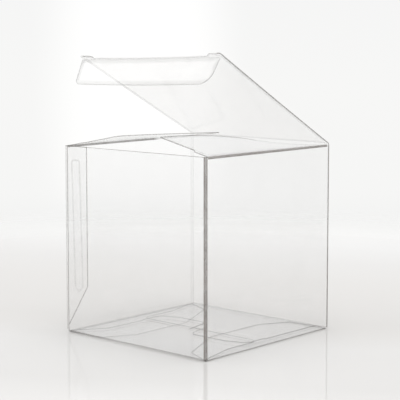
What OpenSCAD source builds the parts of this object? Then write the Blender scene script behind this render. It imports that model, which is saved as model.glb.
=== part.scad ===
// Clear folding box: one creased plastic sheet with a hinged lid, a tuck flap, two dust flaps,
// a glued side seam and a glued automatic bottom. Stored with its lid a little open.
// Millimetres. X runs left to right, the front wall faces -Y, the lid hinges on the back wall,
// and the box stands on Z = 0.

/* [Box] */
// Outside width of the front and back walls
box_w = 101.6; // [70:0.1:200]
// Outside depth of the two side walls
box_d = 101.6; // [70:0.1:200]
// Height of the walls above the table
box_h = 102.0; // [60:0.1:250]
// Thickness of the plastic sheet
sheet_t = 0.4; // [0.25:0.05:0.8]
// Outside radius of a fold in the sheet
crease_r = 1.2; // [0.9:0.1:2.5]
// How far the flaps start from the corners, so that three folds can meet there
corner_relief = 1.6; // [1:0.1:4]

/* [Side seam] */
// Width of the seam flap that is glued inside the front wall
seam_w = 16; // [10:0.5:25]
// Height at which the slanted lower end of the seam flap leaves its fold
seam_foot = 4; // [2:0.5:10]
// Steepness of that slanted end, in degrees from level
seam_slant = 57; // [30:1:70]
// Thickness of the glue between the seam flap and the front wall
glue_t = 0.1; // [0.05:0.05:0.2]
// Width of the squeezed bead of glue
glue_bead = 1.1; // [0.6:0.1:3]
// Distance across the loop that the bead makes
glue_loop_w = 7; // [4:0.5:12]
// Bare margin between the glue and the ends of the seam flap
glue_margin = 7; // [3:0.5:15]

/* [Lid] */
// How far the lid stands open, in degrees
lid_angle = 27.6; // [0:0.1:120]
// Gap under the closed lid
lid_gap = 0.15; // [0.1:0.05:0.5]
// How far the lid's fold line lies outside the back wall
lid_hinge_out = 0.15; // [0.1:0.05:0.5]
// How much narrower the lid is than the outside of the box, on each side
lid_side = 0.9; // [0.1:0.1:1.5]
// How far the lid's shoulders reach past the tuck flap's fold
shoulder_reach = 1.3; // [0.6:0.1:3]
// Length of each lock slit at the ends of the lid's front fold
slit_len = 9.5; // [5:0.5:15]
// How much each slit slants outward from the fold's end to the shoulder's end
slit_slant = 1.9; // [0:0.1:3]
// Radius of the lid's front corners
lid_corner_r = 1; // [0.5:0.5:4]

/* [Tuck flap] */
// Depth of the tuck flap
tuck_d = 15; // [8:0.5:25]
// Fold of the tuck flap below the lid, in degrees
tuck_angle = 91.5; // [90:0.5:110]
// How far the outside of the folded tuck flap sits behind the front wall's outside
tuck_setback = 1.6; // [0.8:0.1:3]
// How much each side of the tuck flap slants in over its depth
tuck_taper = 2.5; // [0:0.5:6]
// Radius of the tuck flap's right corner
tuck_corner_r = 8; // [2:0.5:12]
// Radius of the tuck flap's left corner
tuck_left_r = 3; // [1:0.5:12]

/* [Dust flaps] */
// Depth of a dust flap, from the side wall inward
dust_d = 36.5; // [20:0.5:45]
// How far the dust flaps stand up, in degrees
dust_angle = 12.5; // [0:0.5:60]
// Set-back of the lock shoulder behind the front wall's outside
lock_setback = 2.0; // [1.5:0.1:5]
// Further set-back of the front edge beyond the lock shoulder
lock_step = 2.4; // [0.5:0.1:4]
// Set-back of a dust flap from the lid's hinge, at its fold
dust_back = 3; // [2:0.5:8]
// How much its back edge slants in over its depth, to clear the lid
dust_taper = 13.5; // [0:0.5:25]
// Radius of the corners at its free edge
dust_corner_r = 3; // [1:0.5:10]

/* [Bottom] */
// Depth of the side bottom flaps
side_flap_d = 33; // [20:0.5:34]
// Length of the corner of a side bottom flap that is glued under a main bottom flap
glued_corner = 25; // [15:0.5:30]
// How far the two main bottom flaps reach past each other where they lock
lock_overlap = 13; // [6:0.5:20]
// Distance from the side wall to a main bottom flap's straight edge
main_flap_inset = 8.2; // [4:0.1:14]
// How much further the front main flap's edge stays from the wall by the seam
seam_clearance = 5; // [2:0.5:8]
// Radius of the rounded corners of the bottom flaps
bottom_corner_r = 5; // [1:0.5:8]

/* [Hidden] */
$fn = 64;
eps = 0.01;
// Running gap between a wall and the flap that folds on it
fold_gap = 0.1;
// Gap between two edges that one cut parted
cut_gap = 0.2;
half_w = box_w / 2;
half_d = box_d / 2;
inner_r = crease_r - sheet_t;
// Inside face of the front wall, and the seam flap behind the glue
front_in = -half_d + sheet_t;
seam_y = front_in + glue_t;
// The lid when closed
lid_top = box_h + lid_gap + sheet_t;
hinge_y = half_d + lid_hinge_out;
// Distances along the lid, from its hinge: the fold of the tuck flap and the shoulders' ends
fold_s = hinge_y + half_d - tuck_setback - sheet_t / 2;
shoulder_s = fold_s + shoulder_reach;
// The tuck flap's slit edge is the cut edge of the shoulders
slit_edge = shoulder_s - fold_s + cut_gap;
// The fold of a dust flap
dust_axis_x = half_w - sheet_t / 2;
dust_axis_z = box_h - sheet_t / 2;
// Heights of the sheets in the bottom: side flaps, main flaps, lock tongues
main_z = sheet_t;
tongue_z = 2 * sheet_t;

// Points of a fillet of radius r at corner b, between the points a and c
function fillet_at(a, b, c, r, n = 6) =
    let (u = (a - b) / norm(a - b),
         v = (c - b) / norm(c - b),
         half = acos(u * v) / 2,
         run = r / tan(half),
         mid = b + (u + v) / norm(u + v) * r / sin(half),
         p = b + u * run - mid,
         q = b + v * run - mid,
         turn = p[0] * q[1] - p[1] * q[0] > 0 ? 180 - 2 * half : 2 * half - 180,
         start = atan2(p[1], p[0]))
    r <= 0 ? [b] : [for (i = [0:n]) mid + r * [cos(start + turn * i / n), sin(start + turn * i / n)]];

// An outline with each corner [x, y, r] rounded by its own radius
function rounded(pts) =
    let (n = len(pts), xy = [for (p = pts) [p[0], p[1]]])
    [for (i = [0:n - 1]) each fillet_at(xy[(i + n - 1) % n], xy[i], xy[(i + 1) % n], pts[i][2])];

// A flat piece of the sheet with its underside at z
module sheet_piece(pts, z = 0) {
    translate([0, 0, z])
        linear_extrude(sheet_t)
            polygon(rounded(pts));
}

// A quarter of a ring, in the quadrant of +X and +Y
module quarter_ring() {
    intersection() {
        difference() {
            circle(crease_r);
            circle(inner_r);
        }
        square(crease_r);
    }
}

// The bend at the foot of a wall: from the wall at X = 0, standing up, to a flap running along +X
module bottom_bend(length) {
    translate([crease_r, length / 2, crease_r])
        rotate([90, 0, 0])
            linear_extrude(length)
                rotate(180)
                    quarter_ring();
}

// The four walls in plan, as one strip from the front wall's cut edge round to the left corner
module wall_strip_2d() {
    // front wall, which ends in a cut edge over the seam fold
    translate([-half_w + cut_gap, -half_d])
        square([box_w - crease_r - cut_gap, sheet_t]);
    for (s = [-1, 1])
        translate([half_w - crease_r, s * (half_d - crease_r)])
            rotate(s < 0 ? -90 : 0)
                quarter_ring();
    // right wall
    translate([half_w - sheet_t, -half_d + crease_r])
        square([sheet_t, box_d - 2 * crease_r]);
    // back wall
    translate([-half_w + crease_r, half_d - sheet_t])
        square([box_w - 2 * crease_r, sheet_t]);
    translate([-half_w + crease_r, half_d - crease_r])
        rotate(90)
            quarter_ring();
    // left wall, whose front edge folds into the seam flap
    translate([-half_w, seam_y + crease_r])
        square([sheet_t, half_d - crease_r - seam_y - crease_r]);
    translate([-half_w + crease_r, seam_y + crease_r])
        rotate(180)
            quarter_ring();
}

// The seam flap's outline on the front wall, as [distance from the left, height]
function seam_outline(inset = 0) = [
    [crease_r + inset, box_h - inset, 0],
    [crease_r + inset, seam_foot + inset * (1 / cos(seam_slant) + tan(seam_slant)), 0],
    [seam_w - inset, seam_foot + (seam_w - inset - crease_r) * tan(seam_slant) + inset / cos(seam_slant), 1.5],
    [seam_w - inset, box_h - inset, 1]
];

module seam_flap() {
    translate([-half_w, seam_y + sheet_t, 0])
        rotate([90, 0, 0])
            linear_extrude(sheet_t)
                polygon(rounded(seam_outline()));
}

// One half of the automatic bottom, drawn for the left side flap and the front main flap.
// By the seam, the main flap's edge slants to stay clear of the seam flap when the box is flat.
module bottom_half(by_seam) {
    edge = main_flap_inset + (by_seam ? seam_clearance : 0);
    translate([-half_w, -half_d, 0]) {
        // side flap, with the corner that is glued under the main flap
        sheet_piece([
            [crease_r, corner_relief, 0],
            [glued_corner, corner_relief, 2],
            [side_flap_d + crease_r, corner_relief + side_flap_d - glued_corner + 9, bottom_corner_r],
            [side_flap_d + crease_r, box_d / 2 + 8, bottom_corner_r],
            [18, box_d - 9, bottom_corner_r],
            [crease_r, box_d - corner_relief, 0]
        ]);
        translate([0, box_d / 2, 0])
            bottom_bend(box_d - 2 * corner_relief);
        // main flap
        sheet_piece([
            [by_seam ? corner_relief : edge, crease_r, 0],
            [edge, crease_r + (edge - corner_relief) * tan(seam_slant), by_seam ? 4 : 0],
            [edge, box_d / 2 - cut_gap, 0],
            [box_w - main_flap_inset, box_d / 2 - cut_gap, bottom_corner_r],
            [box_w - main_flap_inset, 26, bottom_corner_r],
            [box_w - corner_relief, crease_r, 0]
        ], main_z);
        translate([box_w / 2, 0, main_z])
            rotate(90)
                bottom_bend(box_w - 2 * corner_relief);
        // the part of the main flap that locks over the other one
        sheet_piece([
            [edge, box_d / 2 - 5, 0],
            [edge, box_d / 2 + lock_overlap - 4, bottom_corner_r],
            [edge + 12, box_d / 2 + lock_overlap, bottom_corner_r],
            [box_w / 2 - 6, box_d / 2 + lock_overlap, bottom_corner_r],
            [box_w / 2 - 2, box_d / 2 - 5, 0]
        ], tongue_z);
    }
}

module box_body() {
    color([0.86, 0.89, 0.91, 0.45])
        union() {
            // walls, with the fold lines of the dust flaps let in at the top of the side walls
            difference() {
                translate([0, 0, main_z + crease_r])
                    linear_extrude(box_h - main_z - crease_r)
                        wall_strip_2d();
                for (s = [-1, 1])
                    translate([s > 0 ? half_w - crease_r : -half_w - crease_r, -half_d + corner_relief,
                               box_h - sheet_t - fold_gap])
                        cube([2 * crease_r, box_d - 2 * corner_relief, crease_r]);
            }
            // the side walls reach one sheet lower than the front and back walls
            for (s = [-1, 1])
                translate([s > 0 ? half_w - sheet_t : -half_w, -half_d + corner_relief, crease_r])
                    cube([sheet_t, box_d - 2 * corner_relief, main_z + eps]);
            seam_flap();
            bottom_half(by_seam = true);
            rotate(180)
                bottom_half(by_seam = false);
        }
}

// Turns what is drawn for the closed lid to the angle at which it stands
module on_lid() {
    translate([0, hinge_y, lid_top])
        rotate([-lid_angle, 0, 0])
            children();
}

module lid() {
    w = half_w - lid_side;
    root = w - slit_len + cut_gap;
    color([0.88, 0.91, 0.93, 0.45])
        on_lid()
            translate([0, 0, -sheet_t])
                linear_extrude(sheet_t)
                    polygon(rounded([
                        [-w, 0, 0],
                        [-w, -shoulder_s, lid_corner_r],
                        [-root - slit_slant, -shoulder_s, 0.4],
                        [-root, -fold_s + sheet_t / 2 + fold_gap, 0],
                        [root, -fold_s + sheet_t / 2 + fold_gap, 0],
                        [root + slit_slant, -shoulder_s, 0.4],
                        [w, -shoulder_s, lid_corner_r],
                        [w, 0, 0]
                    ]));
}

module tuck_flap() {
    w = half_w - lid_side;
    root = w - slit_len;
    color([0.90, 0.93, 0.95, 0.45])
        on_lid()
            translate([0, -fold_s, -sheet_t / 2])
                rotate([tuck_angle, 0, 0]) {
                    // the fold
                    translate([-root, 0, 0])
                        rotate([0, 90, 0])
                            cylinder(d = sheet_t, h = 2 * root);
                    translate([0, 0, -sheet_t / 2])
                        linear_extrude(sheet_t)
                            polygon(rounded([
                                [-root, 0, 0],
                                [-root - slit_slant, -slit_edge, 0],
                                [-w, -slit_edge, 0.8],
                                [-w + tuck_taper, -tuck_d, tuck_left_r],
                                [w - tuck_taper, -tuck_d, tuck_corner_r],
                                [w, -slit_edge, 0.8],
                                [root + slit_slant, -slit_edge, 0],
                                [root, 0, 0]
                            ]));
                }
}

// A dust flap as it lies when closed, folded on the right wall; u runs inward from its fold
module dust_flap() {
    front = -half_d + lock_setback;
    back = half_d - dust_back;
    reach = dust_d - sheet_t / 2;
    rotate([90, 0, 0])
        translate([0, 0, -back])
            cylinder(d = sheet_t, h = back - front);
    translate([0, 0, -sheet_t / 2])
        linear_extrude(sheet_t)
            polygon(rounded([
                [0, front, 0],
                [-slit_len, front, 0.8],
                [-slit_len - lock_step, front + lock_step, 0.8],
                [-reach, front + lock_step, dust_corner_r],
                [-reach, back - dust_taper, dust_corner_r],
                [0, back, 0]
            ]));
}

module dust_flap_right() {
    color([0.89, 0.92, 0.94, 0.45])
        translate([dust_axis_x, 0, dust_axis_z])
            rotate([0, dust_angle, 0])
                dust_flap();
}

module dust_flap_left() {
    color([0.89, 0.92, 0.94, 0.45])
        mirror([1, 0, 0])
            translate([dust_axis_x, 0, dust_axis_z])
                rotate([0, dust_angle, 0])
                    dust_flap();
}

// Glue laid as one long narrow loop, squeezed flat between the seam flap and the front wall
module seam_adhesive() {
    mid = crease_r + (seam_w - crease_r) / 2;
    low = seam_foot + (mid - crease_r) * tan(seam_slant) + glue_margin;
    high = box_h - glue_margin;
    lean = 1;
    outer = glue_loop_w / 2;
    inner = outer - glue_bead;
    color([0.78, 0.80, 0.80, 0.7])
        translate([-half_w, seam_y, 0])
            rotate([90, 0, 0])
                linear_extrude(glue_t)
                    difference() {
                        polygon(rounded([
                            [mid - outer - lean, high, 2],
                            [mid - outer + lean, low + outer, 2],
                            [mid + lean, low, 1],
                            [mid + outer + lean, low + outer, 2],
                            [mid + outer - lean, high, 2]
                        ]));
                        polygon(rounded([
                            [mid - inner - lean, high - glue_bead, 1],
                            [mid - inner + lean, low + outer, 1],
                            [mid + lean, low + 1.6 * glue_bead, 0.5],
                            [mid + inner + lean, low + outer, 1],
                            [mid + inner - lean, high - glue_bead, 1]
                        ]));
                    }
}

box_body();
lid();
tuck_flap();
dust_flap_left();
dust_flap_right();
seam_adhesive();
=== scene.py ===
import logging
import math
from collections.abc import Callable
from dataclasses import dataclass, field
from enum import Enum

import bmesh
import bpy
from mathutils import Matrix, Vector


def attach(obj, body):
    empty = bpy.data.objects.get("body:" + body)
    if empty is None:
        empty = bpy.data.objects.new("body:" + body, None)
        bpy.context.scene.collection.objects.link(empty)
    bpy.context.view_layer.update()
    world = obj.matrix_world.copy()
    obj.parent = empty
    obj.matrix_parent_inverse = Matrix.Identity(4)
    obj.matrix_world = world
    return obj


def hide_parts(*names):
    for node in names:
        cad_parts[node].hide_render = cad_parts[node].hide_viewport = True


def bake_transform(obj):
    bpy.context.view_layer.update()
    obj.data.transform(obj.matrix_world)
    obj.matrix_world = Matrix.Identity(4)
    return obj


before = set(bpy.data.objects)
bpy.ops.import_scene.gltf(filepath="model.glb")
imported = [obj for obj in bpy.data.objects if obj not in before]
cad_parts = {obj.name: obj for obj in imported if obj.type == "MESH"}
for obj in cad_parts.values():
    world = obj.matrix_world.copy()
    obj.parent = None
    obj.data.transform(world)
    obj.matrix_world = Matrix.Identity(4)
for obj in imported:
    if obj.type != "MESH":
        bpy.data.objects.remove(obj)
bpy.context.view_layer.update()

MM = 0.001

logging.basicConfig(level=logging.INFO, format="%(levelname)s %(message)s")
LOG = logging.getLogger("clear_box")

Point2 = tuple[float, float]
Corner = tuple[float, float, float]
Colour = tuple[float, float, float, float]


class Tone(Enum):
    """How dark a cut edge's painted shade is: how much light the guillotined face turns away, set
    edge by edge.
    """

    TRACE = 0.05
    FAINT = 0.14
    SOFT = 0.21
    PLAIN = 0.3
    DEEP = 0.44


@dataclass(frozen=True)
class SheetSizes:
    """The folded sheet's sizes in millimetres, the same as in the part's source."""

    width: float = 101.6
    depth: float = 101.6
    height: float = 102.0
    sheet: float = 0.4
    crease_r: float = 1.2
    relief: float = 1.6
    cut_gap: float = 0.2
    seam_w: float = 16.0
    seam_foot: float = 4.0
    seam_slant: float = 57.0
    glue: float = 0.1
    lid_angle: float = 27.6
    lid_gap: float = 0.15
    lid_out: float = 0.15
    lid_side: float = 0.9
    shoulder_reach: float = 1.3
    slit: float = 9.5
    slit_slant: float = 1.9
    lid_corner_r: float = 1.0
    tuck_d: float = 15.0
    tuck_angle: float = 91.5
    tuck_setback: float = 1.6
    tuck_taper: float = 2.5
    tuck_corner_r: float = 8.0
    tuck_left_r: float = 3.0
    dust_d: float = 36.5
    dust_angle: float = 12.5
    lock_setback: float = 2.0
    lock_step: float = 2.4
    dust_back: float = 3.0
    dust_taper: float = 13.5
    dust_corner_r: float = 3.0
    side_flap_d: float = 33.0
    glued_corner: float = 25.0
    lock_overlap: float = 13.0
    main_inset: float = 8.2
    seam_clearance: float = 5.0
    bottom_corner_r: float = 5.0

    @property
    def half_w(self) -> float:
        """Half the width."""
        return self.width / 2

    @property
    def half_d(self) -> float:
        """Half the depth."""
        return self.depth / 2

    @property
    def seam_y(self) -> float:
        """The seam flap's outside, behind the glue."""
        return -self.half_d + self.sheet + self.glue

    @property
    def lid_top(self) -> float:
        """Height of the closed lid's upper face."""
        return self.height + self.lid_gap + self.sheet

    @property
    def hinge_y(self) -> float:
        """Where the lid's hinge line is."""
        return self.half_d + self.lid_out

    @property
    def fold_s(self) -> float:
        """Distance from the lid's hinge to the tuck flap's fold."""
        return self.hinge_y + self.half_d - self.tuck_setback - self.sheet / 2

    @property
    def shoulder_s(self) -> float:
        """Distance from the lid's hinge to the ends of its shoulders."""
        return self.fold_s + self.shoulder_reach

    def lid_frame(self) -> Matrix:
        """The open lid's own frame, with the sheet just under its XY plane."""
        return Matrix.Translation((0, self.hinge_y, self.lid_top)) @ Matrix.Rotation(
            -math.radians(self.lid_angle), 4, "X"
        )

    def tuck_frame(self) -> Matrix:
        """The tuck flap's own frame, at its fold, with the sheet about its XY plane."""
        return (
            self.lid_frame()
            @ Matrix.Translation((0, -self.fold_s, -self.sheet / 2))
            @ Matrix.Rotation(math.radians(self.tuck_angle), 4, "X")
        )

    def dust_frame(self, side: int) -> Matrix:
        """A dust flap's own frame, at its fold.

        Args:
            side: 1 for the right wall's flap, -1 for the left wall's.

        Returns:
            The frame, mirrored for the left flap, with the flap along its -X.
        """
        right = Matrix.Translation(
            (self.half_w - self.sheet / 2, 0, self.height - self.sheet / 2)
        ) @ Matrix.Rotation(math.radians(self.dust_angle), 4, "Y")
        return Matrix.Scale(side, 4, (1, 0, 0)) @ right

    def front_frame(self, y: float) -> Matrix:
        """A frame on an upright sheet by the front wall: X runs right from the corner, Y up.

        Args:
            y: The place of the sheet's middle, in millimetres.

        Returns:
            The frame, whose Z points out of the box.
        """
        return Matrix.Translation((-self.half_w, y, 0)) @ Matrix.Rotation(math.pi / 2, 4, "X")


SIZES = SheetSizes()
# A cut edge's band in millimetres: a little wider than the real edge, so that the eye can find
# it, and how far it stands proud of the sheet's faces
BAND = 0.3
PROUD = 0.02


@dataclass(frozen=True)
class Bow:
    """How a free flap has sprung out of its plane. This one is flat."""

    sizes: SheetSizes

    def lift(self, x: float, y: float) -> Vector:
        """Tells how far a point of the flap's plane has moved.

        Args:
            x: The point's place across the flap, in millimetres.
            y: Its place along the flap.

        Returns:
            The move in the flap's own frame, in millimetres.
        """
        return Vector((0, 0, 0))


@dataclass(frozen=True)
class LidBow(Bow):
    """The lid has sprung up, mostly at its front right corner, and sways a little to the left.

    It rises by rise all along its front and by corner more at the right, in millimetres, and
    goes left by sway for each millimetre from its hinge.
    """

    rise: float = 0.6
    curl: float = 2.6
    corner: float = 3.05
    sway: float = 0.0175

    def height(self, x: float, s: float) -> float:
        """How far the lid has risen at x across it and s along it from its hinge."""
        share = max(0.0, x / self.sizes.width + 0.5)
        reach = max(0.0, s) / self.sizes.shoulder_s
        return self.rise * reach**self.curl + self.corner * share**2 * reach

    def lift(self, x: float, y: float) -> Vector:
        """The rise off the lid's plane, and the sway."""
        return Vector((self.sway * y, 0, self.height(x, -y)))


@dataclass(frozen=True)
class TuckBow(Bow):
    """The tuck flap goes where the lid's fold takes it."""

    lid: LidBow

    def lift(self, x: float, y: float) -> Vector:
        """The lid's rise and sway, seen from the tuck flap."""
        a = math.radians(self.sizes.tuck_angle)
        fold = self.sizes.fold_s
        up = self.lid.height(x, fold)
        return Vector((-self.lid.sway * fold, up * math.sin(a), up * math.cos(a)))


@dataclass(frozen=True)
class DustBow(Bow):
    """The lid's root holds the back of a dust flap down, so the flap is a little twisted."""

    sink: float
    front: float
    power: float

    def lift(self, x: float, y: float) -> Vector:
        """The twist: none along the fold, hardly any in front, most at the back corner."""
        first = -self.sizes.half_d + self.sizes.lock_setback
        last = self.sizes.half_d - self.sizes.dust_back
        share = max(0.0, (y - first) / (last - first))
        drop = self.front + self.sink * share**self.power
        return Vector((0, 0, -drop * max(0.0, -x) / self.sizes.dust_d))


def linear(code: str) -> tuple[float, float, float, float]:
    """Turns an sRGB hex colour to Blender's linear one.

    Args:
        code: Six hex digits.

    Returns:
        Linear red, green, blue and an alpha of 1.
    """
    parts = [int(code[i : i + 2], 16) / 255 for i in (0, 2, 4)]
    return (*(p / 12.92 if p <= 0.04045 else ((p + 0.055) / 1.055) ** 2.4 for p in parts), 1.0)


def add(
    tree: bpy.types.NodeTree,
    kind: str,
    values: dict[str | int, object] | None = None,
    links: dict[str | int, bpy.types.NodeSocket] | None = None,
    **settings: object,
) -> bpy.types.Node:
    """Adds one node.

    Args:
        tree: The tree it goes in.
        kind: The node's type name.
        values: Values of its unlinked inputs, by name or place.
        links: Sockets that feed its inputs, by name or place.
        **settings: The node's own properties.

    Returns:
        The node.
    """
    node = tree.nodes.new(kind)
    for name, value in settings.items():
        setattr(node, name, value)
    for name, value in (values or {}).items():
        node.inputs[name].default_value = value
    for name, source in (links or {}).items():
        tree.links.new(source, node.inputs[name])
    return node


def fill_ramp(node: bpy.types.Node, stops: list[tuple[float, Colour]]) -> None:
    """Gives a colour ramp its stops.

    Args:
        node: The ramp.
        stops: Places from 0 to 1 with their linear colours.
    """
    elements = node.color_ramp.elements
    while len(elements) < len(stops):
        elements.new(0.5)
    for element, (at, colour) in zip(elements, stops):
        element.position = at
        element.color = colour


def rounded(corners: list[Corner], closed: bool = False, steps: int = 6) -> list[Point2]:
    """Rounds the corners of an outline, each by its own radius.

    Args:
        corners: The corners as (x, y, radius).
        closed: True for a ring, whose ends are corners too.
        steps: Segments in each rounded corner.

    Returns:
        The points of the outline.
    """
    points: list[Point2] = []
    n = len(corners)
    for i, (x, y, r) in enumerate(corners):
        if r <= 0 or (not closed and i in (0, n - 1)):
            points.append((x, y))
            continue
        b = Vector((x, y))
        u = (Vector(corners[i - 1][:2]) - b).normalized()
        v = (Vector(corners[(i + 1) % n][:2]) - b).normalized()
        half = math.acos(max(-1.0, min(1.0, u.dot(v)))) / 2
        middle = b + (u + v).normalized() * r / math.sin(half)
        p = b + u * r / math.tan(half) - middle
        q = b + v * r / math.tan(half) - middle
        sweep = math.pi - 2 * half
        if p.x * q.y - p.y * q.x < 0:
            sweep = -sweep
        start = math.atan2(p.y, p.x)
        for k in range(steps + 1):
            a = start + sweep * k / steps
            points.append((middle.x + r * math.cos(a), middle.y + r * math.sin(a)))
    return points


def fine(path: list[Point2], step: float = 2.5) -> list[Point2]:
    """Adds points to an open path, so that it can follow a bowed sheet.

    Args:
        path: The path, in millimetres.
        step: The longest stretch that is left between two points.

    Returns:
        The path with its own points and those between them.
    """
    points = [path[0]]
    for (x0, y0), (x1, y1) in zip(path, path[1:]):
        count = max(1, math.ceil(math.hypot(x1 - x0, y1 - y0) / step))
        points += [
            (x0 + (x1 - x0) * k / count, y0 + (y1 - y0) * k / count) for k in range(1, count + 1)
        ]
    return points


@dataclass(frozen=True)
class Finish:
    """A finish that makes one material."""

    name: str

    def make(self) -> bpy.types.Material:
        """Builds the material, or returns the one already built."""
        made = bpy.data.materials.get(self.name)
        if made is None:
            made = bpy.data.materials.new(self.name)
            made.use_nodes = True
            made.node_tree.nodes.clear()
            out = add(made.node_tree, "ShaderNodeOutputMaterial")
            self.shade(made.node_tree, out)
        return made

    def shade(self, tree: bpy.types.NodeTree, out: bpy.types.Node) -> None:
        """Builds the nodes that feed the output."""
        raise NotImplementedError


@dataclass(frozen=True)
class ClearSheet(Finish):
    """Extruded clear PET sheet: glassy, hardly tinted, with a slow waviness from the rollers."""

    tint: str = "FEFEFE"
    haze: float = 0.006
    roughness: float = 0.09
    wave_mm: float = 38.0
    head_on: float = 0.049
    grazing: float = 0.5

    def shade(self, tree: bpy.types.NodeTree, out: bpy.types.Node) -> None:
        """Builds the nodes: clear film, a little haze, and a mirror share for slanting sight."""
        place = add(tree, "ShaderNodeTexCoord").outputs["Object"]
        # The rollers leave the sheet very slightly wavy, which bends what it mirrors
        wave = add(
            tree,
            "ShaderNodeTexNoise",
            {"Scale": 1 / (self.wave_mm * MM), "Detail": 1.0, "Roughness": 0.4},
            {"Vector": place},
        ).outputs["Fac"]
        bump = add(
            tree, "ShaderNodeBump", {"Strength": 0.25, "Distance": 1.2 * MM}, {"Height": wave}
        ).outputs["Normal"]
        # Handling leaves soft cloudy marks a few millimetres wide
        cloud = add(
            tree,
            "ShaderNodeTexNoise",
            {"Scale": 1 / (9 * MM), "Detail": 4.0, "Roughness": 0.6},
            {"Vector": place},
        ).outputs["Fac"]
        haze = add(
            tree,
            "ShaderNodeMapRange",
            {
                "From Min": 0.35,
                "From Max": 0.8,
                "To Min": self.haze * 0.5,
                "To Max": self.haze * 2.2,
            },
            {"Value": cloud},
        ).outputs["Result"]
        clear = add(tree, "ShaderNodeBsdfTransparent", {"Color": linear(self.tint)})
        milky = add(tree, "ShaderNodeBsdfDiffuse", {"Color": linear("E9E8E5")})
        film = add(
            tree, "ShaderNodeMixShader", None, {0: haze, 1: clear.outputs[0], 2: milky.outputs[0]}
        )
        # Schlick's rule from the angle of sight, the same on both faces of the sheet
        facing = add(tree, "ShaderNodeLayerWeight", {"Blend": 0.5}).outputs["Facing"]
        power = add(tree, "ShaderNodeMath", {1: 5.0}, {0: facing}, operation="POWER").outputs[0]
        mirror = add(
            tree,
            "ShaderNodeMath",
            {1: self.grazing, 2: self.head_on},
            {0: power},
            operation="MULTIPLY_ADD",
            use_clamp=True,
        ).outputs[0]
        gloss = add(
            tree,
            "ShaderNodeBsdfAnisotropic",
            {"Color": (1, 1, 1, 1), "Roughness": self.roughness},
            {"Normal": bump},
        )
        surface = add(
            tree, "ShaderNodeMixShader", None, {0: mirror, 1: film.outputs[0], 2: gloss.outputs[0]}
        )
        tree.links.new(surface.outputs[0], out.inputs["Surface"])


@dataclass(frozen=True)
class PaintedCreaseShade(Finish):
    """Painted shade along a hot creased fold of the PET: the bend turns light away, so it is
    painted as a grey band with darker flanks.
    """

    dark: str = "6E655F"
    strength: float = 0.8
    middle: float = 0.75
    back_end: float = 1.0

    @property
    def stops(self) -> list[tuple[float, float]]:
        """How much light the bend turns away, at shares of the way across it."""
        return [
            (0.0, 0.0),
            (0.12, 0.95),
            (0.3, 0.9),
            (0.45, self.middle),
            (0.62, self.middle),
            (0.86, 1.0),
            (1.0, 0.0),
        ]

    def shade(self, tree: bpy.types.NodeTree, out: bpy.types.Node) -> None:
        """Builds the nodes: the UV map tells the place across the band and along it, 0 to 1."""
        uv = add(tree, "ShaderNodeUVMap", uv_map="crease").outputs["UV"]
        split = add(tree, "ShaderNodeSeparateXYZ", None, {0: uv}).outputs
        ramp = add(tree, "ShaderNodeValToRGB", None, {0: split["X"]})
        ramp.color_ramp.interpolation = "EASE"
        fill_ramp(ramp, [(at, (value, value, value, 1.0)) for at, value in self.stops])
        place = add(tree, "ShaderNodeTexCoord").outputs["Object"]
        # The painted shade varies a little along the fold, as the creasing rule presses a little
        # unevenly along its length
        press = add(
            tree, "ShaderNodeTexNoise", {"Scale": 1 / (4 * MM), "Detail": 3.0}, {"Vector": place}
        ).outputs["Fac"]
        uneven = add(
            tree,
            "ShaderNodeMapRange",
            {
                "From Min": 0.3,
                "From Max": 0.7,
                "To Min": 0.82 * self.strength,
                "To Max": self.strength,
            },
            {"Value": press},
        ).outputs["Result"]
        # The painted shade drops to back_end of its depth towards the end of some folds
        end = add(
            tree,
            "ShaderNodeMapRange",
            {"From Min": 0.69, "From Max": 0.75, "To Min": 1.0, "To Max": self.back_end},
            {"Value": split["Y"]},
        ).outputs["Result"]
        depth = add(
            tree, "ShaderNodeMath", None, {0: uneven, 1: end}, operation="MULTIPLY"
        ).outputs[0]
        alpha = add(
            tree,
            "ShaderNodeMath",
            None,
            {0: ramp.outputs["Color"], 1: depth},
            operation="MULTIPLY",
            use_clamp=True,
        ).outputs[0]
        shell = add(
            tree,
            "ShaderNodeBsdfPrincipled",
            {"Base Color": linear(self.dark), "Roughness": 0.3, "IOR": 1.57},
            {"Alpha": alpha},
        )
        tree.links.new(shell.outputs[0], out.inputs["Surface"])


@dataclass(frozen=True)
class FootPaintedCreaseShade(PaintedCreaseShade):
    """Painted shade and painted dark reflection where the PET folds under the box: dark only low
    in the bend, where the board closes in on it.
    """

    @property
    def stops(self) -> list[tuple[float, float]]:
        """How much light the bend turns away, from the wall down to the underside."""
        return [
            (0.0, 0.0),
            (0.2, 0.06),
            (0.31, 0.3),
            (0.38, 0.95),
            (0.85, 1.0),
            (1.0, 0.0),
        ]


@dataclass(frozen=True)
class CutEdgeAndShade(Finish):
    """Die-cut PET edge: a narrow frosted face, with painted shade that makes it grey against
    white.
    """

    tone: Tone = Tone.PLAIN
    dark: str = "77706A"

    def shade(self, tree: bpy.types.NodeTree, out: bpy.types.Node) -> None:
        """Builds the nodes: the blade's fine drag marks vary how solid the edge looks."""
        place = add(tree, "ShaderNodeTexCoord").outputs["Object"]
        drag = add(
            tree, "ShaderNodeTexNoise", {"Scale": 1 / (1.5 * MM), "Detail": 2.0}, {"Vector": place}
        ).outputs["Fac"]
        alpha = add(
            tree,
            "ShaderNodeMapRange",
            {
                "From Min": 0.3,
                "From Max": 0.7,
                "To Min": 0.85 * self.tone.value,
                "To Max": 1.1 * self.tone.value,
            },
            {"Value": drag},
        ).outputs["Result"]
        edge = add(
            tree,
            "ShaderNodeBsdfPrincipled",
            {"Base Color": linear(self.dark), "Roughness": 0.4, "IOR": 1.57},
            {"Alpha": alpha},
        )
        tree.links.new(edge.outputs[0], out.inputs["Surface"])


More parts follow.
